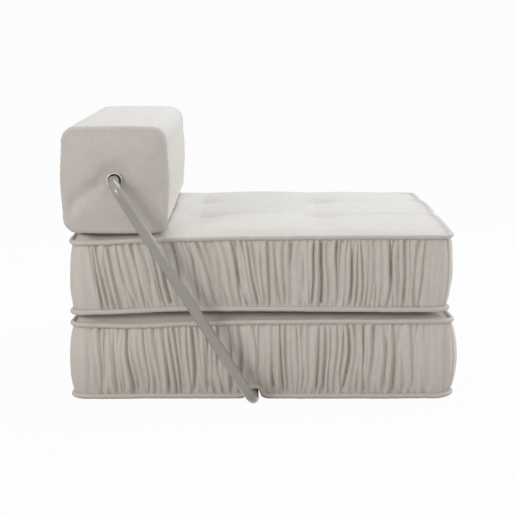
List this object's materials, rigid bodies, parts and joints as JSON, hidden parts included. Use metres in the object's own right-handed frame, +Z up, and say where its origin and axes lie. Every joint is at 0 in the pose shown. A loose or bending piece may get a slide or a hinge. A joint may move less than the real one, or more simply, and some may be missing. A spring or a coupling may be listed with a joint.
{
  "type": "folding chair bed",
  "caption": "Low chair that turns into a bed: stacked square mattresses with gathered sides and a square back bolster on a bent tube frame.",
  "frame": {"origin": "on the floor, under the middle of the lower mattress", "axes": "+X to the front of the chair, +Y to its left side, along the bolster, +Z up"},
  "size_m": [1.0223, 1.16, 0.7216],
  "materials": {
    "foam": "open-cell polyurethane foam",
    "panel_cloth": "fine matt weave",
    "gathered_cloth": "fine matt weave, gathered",
    "piping_cloth": "fine matt weave over cord",
    "bolster_cloth": "fine matt weave",
    "tuft_twine": "waxed twine with felt washers",
    "frame_steel": "satin powder coat",
    "bare_steel": "drawn tube",
    "screw_steel": "zinc plated",
    "eyelet_metal": "polished",
    "bush_nylon": "turned nylon",
    "plug_plastic": "moulded",
    "zip_tape": "woven tape",
    "zip_chain": "moulded coil",
    "zip_slider": "cast and painted"
  },
  "bodies": {
    "lower_mattress": {"lower_foam": "foam", "lower_top_panel": "panel_cloth", "lower_bottom_panel": "panel_cloth", "lower_border": "gathered_cloth", "lower_top_piping": "piping_cloth", "lower_bottom_piping": "piping_cloth", "lower_zip_tape": "zip_tape", "lower_zip_chain": "zip_chain"},
    "upper_mattress": {"upper_foam": "foam", "upper_tuft_ties": "tuft_twine", "upper_seat_panel": "panel_cloth", "upper_bottom_panel": "panel_cloth", "upper_border": "gathered_cloth", "upper_top_piping": "piping_cloth", "upper_bottom_piping": "piping_cloth", "upper_zip_tape": "zip_tape", "upper_zip_chain": "zip_chain"},
    "back_frame": {"near_frame_tube": "frame_steel", "far_frame_tube": "frame_steel", "crossbar_spigot": "bare_steel", "joint_screws": "screw_steel", "near_stub_plug": "plug_plastic", "far_stub_plug": "plug_plastic"},
    "bolster": {"bolster_foam": "foam", "bolster_cover": "bolster_cloth", "bolster_sleeve": "bare_steel", "near_bolster_end": "bolster_cloth", "far_bolster_end": "bolster_cloth", "near_eyelet": "eyelet_metal", "far_eyelet": "eyelet_metal", "near_bush": "bush_nylon", "far_bush": "bush_nylon", "bolster_zip_tape": "zip_tape", "bolster_zip_chain": "zip_chain"},
    "lower_slider": {"lower_zip_slider": "zip_slider"},
    "upper_slider": {"upper_zip_slider": "zip_slider"},
    "bolster_slider": {"bolster_zip_slider": "zip_slider"}
  },
  "joints": [
    {"name": "frame_swing", "type": "hinge", "parent": "lower_mattress", "child": "back_frame", "pos_m": [-0.02, 0, 0.014], "axis": [0, 1, 0], "range_deg": [0, 58]},
    {"name": "bolster_turn", "type": "hinge", "parent": "back_frame", "child": "bolster", "pos_m": [-0.379, 0, 0.5816], "axis": [0, 1, 0], "range_deg": [-58, 0]},
    {"name": "seat_pull", "type": "slide", "parent": "lower_mattress", "child": "upper_mattress", "axis": [1, 0, 0], "range_m": [0, 1]},
    {"name": "lower_zip_run", "type": "slide", "parent": "lower_mattress", "child": "lower_slider", "axis": [0, 1, 0], "range_m": [0, 0.859]},
    {"name": "upper_zip_run", "type": "slide", "parent": "upper_mattress", "child": "upper_slider", "axis": [0, 1, 0], "range_m": [0, 0.859]},
    {"name": "bolster_zip_run", "type": "slide", "parent": "bolster", "child": "bolster_slider", "axis": [0, 1, 0], "range_m": [0, 0.859]}
  ],
  "couplings": [
    {"joint": "bolster_turn", "follows": "frame_swing", "ratio": -1}
  ]
}
